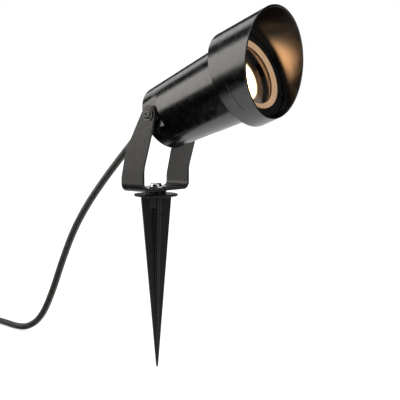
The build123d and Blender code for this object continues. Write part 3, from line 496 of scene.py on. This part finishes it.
lamp_lens = new_finish("lamp_lens")
lamp_radius = 0.025
lens_out = along_and_across(lamp_lens)[1]
lens_glow = add_node(lamp_lens, "ValToRGB")
join(lamp_lens, step_at(lamp_lens, lens_out, 0.0, lamp_radius), 0, lens_glow, 0)
lens_stops = lens_glow.color_ramp.elements
lens_stops[0].color = (1.0, 0.51, 0.21, 1)
lens_stops[1].color = (0.0, 0.0, 0.0, 1)
for stop_place, stop_colour in ((0.35, (0.80, 0.41, 0.17, 1)), (0.56, (0.34, 0.18, 0.08, 1)),
                                (0.69, (0.10, 0.080, 0.050, 1)), (0.76, (0.006, 0.003, 0.001, 1))):
    lens_stops.new(stop_place).color = stop_colour
lens_shader = lamp_lens.node_tree.nodes["Principled BSDF"]
lens_shader.inputs["Emission Strength"].default_value = 22.0
join(lamp_lens, lens_glow, "Color", lens_shader, "Emission Color")
recolour(lamp_lens, step_at(lamp_lens, lens_out, 0.0165, 0.0190), (0.012, 0.008, 0.005), first=(0.85, 0.83, 0.77))
raise_surface(lamp_lens, noise(lamp_lens, 0.0009), 0.00002)
dress(lamp_lens, "lamp_lens")

plated_pin = new_finish("plated_pin", metallic=1.0)
tint(plated_pin, noise(plated_pin, 0.003), (0.68, 0.67, 0.63), (0.80, 0.79, 0.77))
vary_roughness(plated_pin, noise(plated_pin, 0.0012), 0.18, 0.32)
dress(plated_pin, "lamp_pins")

# --- Lampholder, plate and earth point --------------------------------------------------------------
# The pressed steatite lampholder sits on a steel plate across two posts. A tinned ring terminal is
# screwed to its own post in the housing's floor.
steatite = new_finish("steatite")
tint(steatite, noise(steatite, 0.005), (0.68, 0.64, 0.57), (0.76, 0.73, 0.67))
vary_roughness(steatite, noise(steatite, 0.002), 0.45, 0.65)
raise_surface(steatite, noise(steatite, 0.0006, 5.0), 0.00003)
dress(steatite, "lampholder")

plain_steel = new_finish("plain_steel", metallic=1.0)
tint(plain_steel, noise(plain_steel, 0.003, stretch=(0.1, 1, 1)), (0.46, 0.46, 0.45), (0.60, 0.59, 0.58))
vary_roughness(plain_steel, noise(plain_steel, 0.001), 0.32, 0.50)
dress(plain_steel, "holder_plate", "holder_screws", "earth_screw")

tinned_lug = new_finish("tinned_lug", metallic=1.0)
tint(tinned_lug, noise(tinned_lug, 0.002), (0.58, 0.58, 0.56), (0.72, 0.72, 0.70))
vary_roughness(tinned_lug, noise(tinned_lug, 0.0008), 0.30, 0.50)
dress(tinned_lug, "earth_lug")

# --- Cable gland and inner leads --------------------------------------------------------------------
# A moulded nylon gland clamps the cord in the rear wall, with a locknut inside. In the chamber the
# three coloured leads part to their terminals.
gland_nylon = new_finish("gland_nylon")
tint(gland_nylon, noise(gland_nylon, 0.004), (0.011, 0.011, 0.011), (0.019, 0.019, 0.019))
vary_roughness(gland_nylon, noise(gland_nylon, 0.002), 0.35, 0.52)
raise_surface(gland_nylon, noise(gland_nylon, 0.0006), 0.00001)
dress(gland_nylon, "gland_body", "gland_nut", "gland_locknut")


def lead_sheath(name, dark, light, node):
    """One lead's insulation, in its own two tones."""
    made = new_finish(name)
    tint(made, noise(made, 0.003), dark, light)
    vary_roughness(made, noise(made, 0.001), 0.38, 0.55)
    dress(made, node)


lead_sheath("lead_brown", (0.10, 0.035, 0.015), (0.14, 0.050, 0.022), "live_lead")
lead_sheath("lead_blue", (0.02, 0.07, 0.32), (0.03, 0.10, 0.42), "neutral_lead")
lead_sheath("lead_green_yellow", (0.55, 0.46, 0.02), (0.03, 0.24, 0.04), "earth_lead")

# --- Coil tie and plug ------------------------------------------------------------------------------
# A flat plastic-coated twist tie holds the turns. The plug is one rubber moulding round two plated
# pins and two earth strips, with a slotted boot at its neck.
tie_plastic = new_finish("tie_plastic")
tint(tie_plastic, noise(tie_plastic, 0.002), (0.015, 0.015, 0.015), (0.028, 0.028, 0.028))
vary_roughness(tie_plastic, noise(tie_plastic, 0.001), 0.28, 0.45)
dress(tie_plastic, "coil_tie")

plug_rubber = new_finish("plug_rubber")
tint(plug_rubber, noise(plug_rubber, 0.006), (0.012, 0.012, 0.012), (0.022, 0.022, 0.022))
vary_roughness(plug_rubber, noise(plug_rubber, 0.003), 0.46, 0.64)
raise_surface(plug_rubber, noise(plug_rubber, 0.0006), 0.00002)
dress(plug_rubber, "plug_body")
dress(plated_pin, "plug_pins", "plug_earth_clips")

# --- Cord -------------------------------------------------------------------------------------------
# Round rubber-sheathed mains lead, 7 mm thick. It droops from the gland, hangs down behind the bracket
# and is wound, as for storage, in a coil of two layers on the ground; its plug lies on the coil.
cord_radius = 0.0035
boot_tip = pivot - 0.027 * beam
cord_route = [
    boot_tip,
    boot_tip - 0.0075 * beam,
    (-0.0186, 0.0, 0.0576),
    (-0.0276, 0.0, 0.0495),
    (-0.0440, 0.0, 0.0345),
    (-0.0680, 0.0002, 0.0119),
    (-0.0920, -0.0004, -0.0140),
    (-0.1120, -0.0014, -0.0415),
    (-0.1290, -0.0026, -0.0750),
    (-0.1445, -0.0036, -0.1100),
    (-0.1625, -0.0036, -0.1385),
    (-0.1850, -0.0034, -0.1528),
    (-0.2080, -0.0018, -0.1563),
    (-0.2330, 0.0010, -0.1563),
    (-0.2620, 0.0010, -0.1563),
]
# The coil winds inwards on the lower layer, climbs, and winds outwards on the upper one.
coil_middle = Vector((-0.2890, -0.0425))
coil_outer_turn = 0.0435
turns_in = 2.25
turns_out = 2.25
points_per_turn = 16
climb_turns = 0.17
lower_layer = -0.1563
# The line runs just inside its points, so they stand out by this share of the radius.
hug = 1 / cos(pi / points_per_turn)
for step in range(int((turns_in + turns_out) * points_per_turn) + 1):
    turns = step / points_per_turn
    radius = coil_outer_turn - 2 * cord_radius * (turns_in - abs(turns - turns_in))
    climb = min(max((turns - turns_in + climb_turns) / (2 * climb_turns), 0), 1)
    angle = radians(90) + 2 * pi * turns
    cord_route.append((
        coil_middle.x + hug * radius * cos(angle),
        coil_middle.y + hug * radius * sin(angle),
        lower_layer + 2 * cord_radius * climb * climb * (3 - 2 * climb),
    ))
cord_route += [
    (-0.2620, -0.0860, -0.1493),
    (-0.2460, -0.0860, -0.1493),
    (-0.2317, -0.0801, -0.1491),
    (-0.2207, -0.0691, -0.1484),
    (-0.2148, -0.0548, -0.1473),
    (-0.2148, -0.0392, -0.1459),
    (-0.2207, -0.0249, -0.1443),
    (-0.2317, -0.0139, -0.1429),
    (-0.2460, -0.0080, -0.1414),
    (-0.2626, -0.0080, -0.1377),
]

cord_curve = bpy.data.curves.new("cord_line", "CURVE")
cord_curve.dimensions = "3D"
cord_curve.resolution_u = 6
cord_spline = cord_curve.splines.new("NURBS")
cord_spline.points.add(len(cord_route) - 1)
for point, place in zip(cord_spline.points, cord_route):
    point.co = (*place, 1)
cord_spline.order_u = 3
cord_spline.use_endpoint_u = True
cord_line = bpy.data.objects.new("cord_line", cord_curve)
scene.collection.objects.link(cord_line)
bpy.context.view_layer.update()
line_mesh = bpy.data.meshes.new_from_object(cord_line)
cord_path = [vertex.co.copy() for vertex in line_mesh.vertices]
cord_curve.bevel_depth = cord_radius
cord_curve.bevel_resolution = 5
cord_curve.use_fill_caps = True
cord_mesh = bpy.data.meshes.new_from_object(cord_line.evaluated_get(
    bpy.context.evaluated_depsgraph_get()))
bpy.data.objects.remove(cord_line)
free_cord = bpy.data.objects.new("free_cord", cord_mesh)
scene.collection.objects.link(free_cord)
cord_mesh.shade_smooth()

cord_rubber = new_finish("cord_rubber")
tint(cord_rubber, noise(cord_rubber, 0.004), (0.026, 0.026, 0.0252), (0.042, 0.0415, 0.040))
vary_roughness(cord_rubber, noise(cord_rubber, 0.002), 0.30, 0.44)
raise_surface(cord_rubber, noise(cord_rubber, 0.0005), 0.000015)
cord_mesh.materials.clear()
cord_mesh.materials.append(cord_rubber)
dress(cord_rubber, "cord_end")

# From here on the cord no longer follows the head's tilt.
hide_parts("cord", "cord_coil", "cord_tail")
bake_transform(free_cord)

# --- Strain relief ----------------------------------------------------------------------------------
# A soft black rubber sleeve moulded on the cord, gripped by the gland nut. It tapers to its tip and is
# ribbed, so that it bends evenly. It bends with the cord, so it stands for the plain boot of the CAD.
boot_rubber = new_finish("boot_rubber")
tint(boot_rubber, noise(boot_rubber, 0.003), (0.010, 0.010, 0.010), (0.018, 0.018, 0.018))
vary_roughness(boot_rubber, noise(boot_rubber, 0.002), 0.50, 0.68)
raise_surface(boot_rubber, noise(boot_rubber, 0.0005), 0.00002)

relief_length = 0.0315
relief_foot = pivot - 0.0120 * beam
relief_places = [relief_foot, boot_tip]
relief_left = relief_length - (boot_tip - relief_foot).length
for here, there in zip(cord_path, cord_path[1:]):
    relief_places.append(there)
    relief_left -= (there - here).length
    if relief_left <= 0:
        break
relief_line_mesh = bpy.data.meshes.new("strain_relief_line")
relief_line_mesh.from_pydata([tuple(place) for place in relief_places],
                             [(number, number + 1) for number in range(len(relief_places) - 1)], [])
relief_line = bpy.data.objects.new("strain_relief_line", relief_line_mesh)
scene.collection.objects.link(relief_line)

ribbing = bpy.data.node_groups.new("ribbed_sleeve", "GeometryNodeTree")
ribbing.interface.new_socket("Line", in_out="INPUT", socket_type="NodeSocketGeometry")
for relief_size, relief_default in (("Grip length", 0.0079), ("Grip radius", 0.00495), ("Foot radius", 0.0060),
                                    ("Tip radius", 0.0045), ("Whole length", relief_length), ("Rib pitch", 0.0027),
                                    ("Groove depth", 0.0009), ("Plain tip", 0.0020), ("Ring spacing", 0.00025),
                                    ("Bore radius", cord_radius + 0.00005)):
    relief_input = ribbing.interface.new_socket(relief_size, in_out="INPUT", socket_type="NodeSocketFloat")
    relief_input.default_value = relief_default
ribbing.interface.new_socket("Rubber", in_out="INPUT", socket_type="NodeSocketMaterial")
ribbing.interface.new_socket("Sleeve", in_out="OUTPUT", socket_type="NodeSocketGeometry")
relief_in = ribbing.nodes.new("NodeGroupInput")
relief_out = ribbing.nodes.new("NodeGroupOutput")


def sleeve_node(kind, inputs, **settings):
    """A node of the sleeve's tree; its inputs are numbers or other nodes' outputs."""
    made = ribbing.nodes.new(kind)
    for name, value in settings.items():
        setattr(made, name, value)
    for socket, value in inputs.items():
        if isinstance(value, bpy.types.NodeSocket):
            ribbing.links.new(value, made.inputs[socket])
        else:
            made.inputs[socket].default_value = value
    return made.outputs[0]


def sleeve_sum(operation, first, second):
    """A number from two, each a plain number or another node's output."""
    return sleeve_node("ShaderNodeMath", {0: first, 1: second}, operation=operation)


# Rings along the line, with a radius for each: the grip in the nut, then the taper less its grooves.
sleeve_curve = sleeve_node("GeometryNodeMeshToCurve", {0: relief_in.outputs["Line"]})
sleeve_rings = sleeve_node("GeometryNodeResampleCurve", {"Curve": sleeve_curve,
                                                         "Length": relief_in.outputs["Ring spacing"]}, mode="LENGTH")
sleeve_reach = ribbing.nodes.new("GeometryNodeSplineParameter").outputs["Length"]
past_grip = sleeve_sum("SUBTRACT", sleeve_reach, relief_in.outputs["Grip length"])
sleeve_taper = sleeve_node("ShaderNodeMapRange", {
    "Value": sleeve_reach, "From Min": relief_in.outputs["Grip length"], "From Max": relief_in.outputs["Whole length"],
    "To Min": relief_in.outputs["Foot radius"], "To Max": relief_in.outputs["Tip radius"]})
rib_share = sleeve_sum("FLOORED_MODULO", sleeve_sum("DIVIDE", past_grip, relief_in.outputs["Rib pitch"]), 1.0)
in_groove = sleeve_node("ShaderNodeMapRange", {"Value": rib_share, "From Min": 0.50, "From Max": 0.62})
before_tip = sleeve_sum("LESS_THAN", sleeve_reach,
                        sleeve_sum("SUBTRACT", relief_in.outputs["Whole length"], relief_in.outputs["Plain tip"]))
groove = sleeve_sum("MULTIPLY", sleeve_sum("MULTIPLY", in_groove, before_tip), relief_in.outputs["Groove depth"])
ribbed_radius = sleeve_sum("SUBTRACT", sleeve_taper, groove)
outside_nut = sleeve_sum("GREATER_THAN", past_grip, 0.0)
sleeve_radius = sleeve_node("ShaderNodeMix", {0: outside_nut, 2: relief_in.outputs["Grip radius"], 3: ribbed_radius})

# The outer skin closes on to the bore at both ends, and the two merge there into one closed wall.
sleeve_share = ribbing.nodes.new("GeometryNodeSplineParameter").outputs["Factor"]
off_foot = sleeve_sum("GREATER_THAN", sleeve_share, 0.001)
off_tip = sleeve_sum("LESS_THAN", sleeve_share, 0.999)
off_both_ends = sleeve_sum("MULTIPLY", off_foot, off_tip)
closed_radius = sleeve_node("ShaderNodeMix", {0: off_both_ends, 2: relief_in.outputs["Bore radius"],
                                              3: sleeve_radius})
sleeve_round = sleeve_node("GeometryNodeCurvePrimitiveCircle", {"Resolution": 32, "Radius": 1.0})
sleeve_skin = sleeve_node("GeometryNodeCurveToMesh", {"Curve": sleeve_rings, "Profile Curve": sleeve_round,
                                                      "Scale": closed_radius})
sleeve_bore = sleeve_node("GeometryNodeCurveToMesh", {"Curve": sleeve_rings, "Profile Curve": sleeve_round,
                                                      "Scale": relief_in.outputs["Bore radius"]})
bore_facing_cord = sleeve_node("GeometryNodeFlipFaces", {0: sleeve_bore})
sleeve_walls = ribbing.nodes.new("GeometryNodeJoinGeometry")
ribbing.links.new(sleeve_skin, sleeve_walls.inputs[0])
ribbing.links.new(bore_facing_cord, sleeve_walls.inputs[0])
sleeve_closed = sleeve_node("GeometryNodeMergeByDistance", {"Geometry": sleeve_walls.outputs[0], "Distance": 0.000002})
sleeve_whole = sleeve_node("GeometryNodeRealizeInstances", {0: sleeve_closed})
sleeve_finished = sleeve_node("GeometryNodeSetMaterial", {"Geometry": sleeve_whole,
                                                          "Material": relief_in.outputs["Rubber"]})
ribbing.links.new(sleeve_finished, relief_out.inputs["Sleeve"])

relief_maker = relief_line.modifiers.new("ribbed_sleeve", "NODES")
relief_maker.node_group = ribbing
relief_sockets = {item.name: item.identifier for item in ribbing.interface.items_tree if item.in_out == "INPUT"}
relief_maker[relief_sockets["Rubber"]] = boot_rubber
relief_mesh = bpy.data.meshes.new_from_object(relief_line.evaluated_get(bpy.context.evaluated_depsgraph_get()))
relief_mesh.name = "strain_relief"
bpy.data.objects.remove(relief_line)
strain_relief = bpy.data.objects.new("strain_relief", relief_mesh)
scene.collection.objects.link(strain_relief)
relief_mesh.shade_smooth()
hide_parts("cord_boot")
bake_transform(strain_relief)
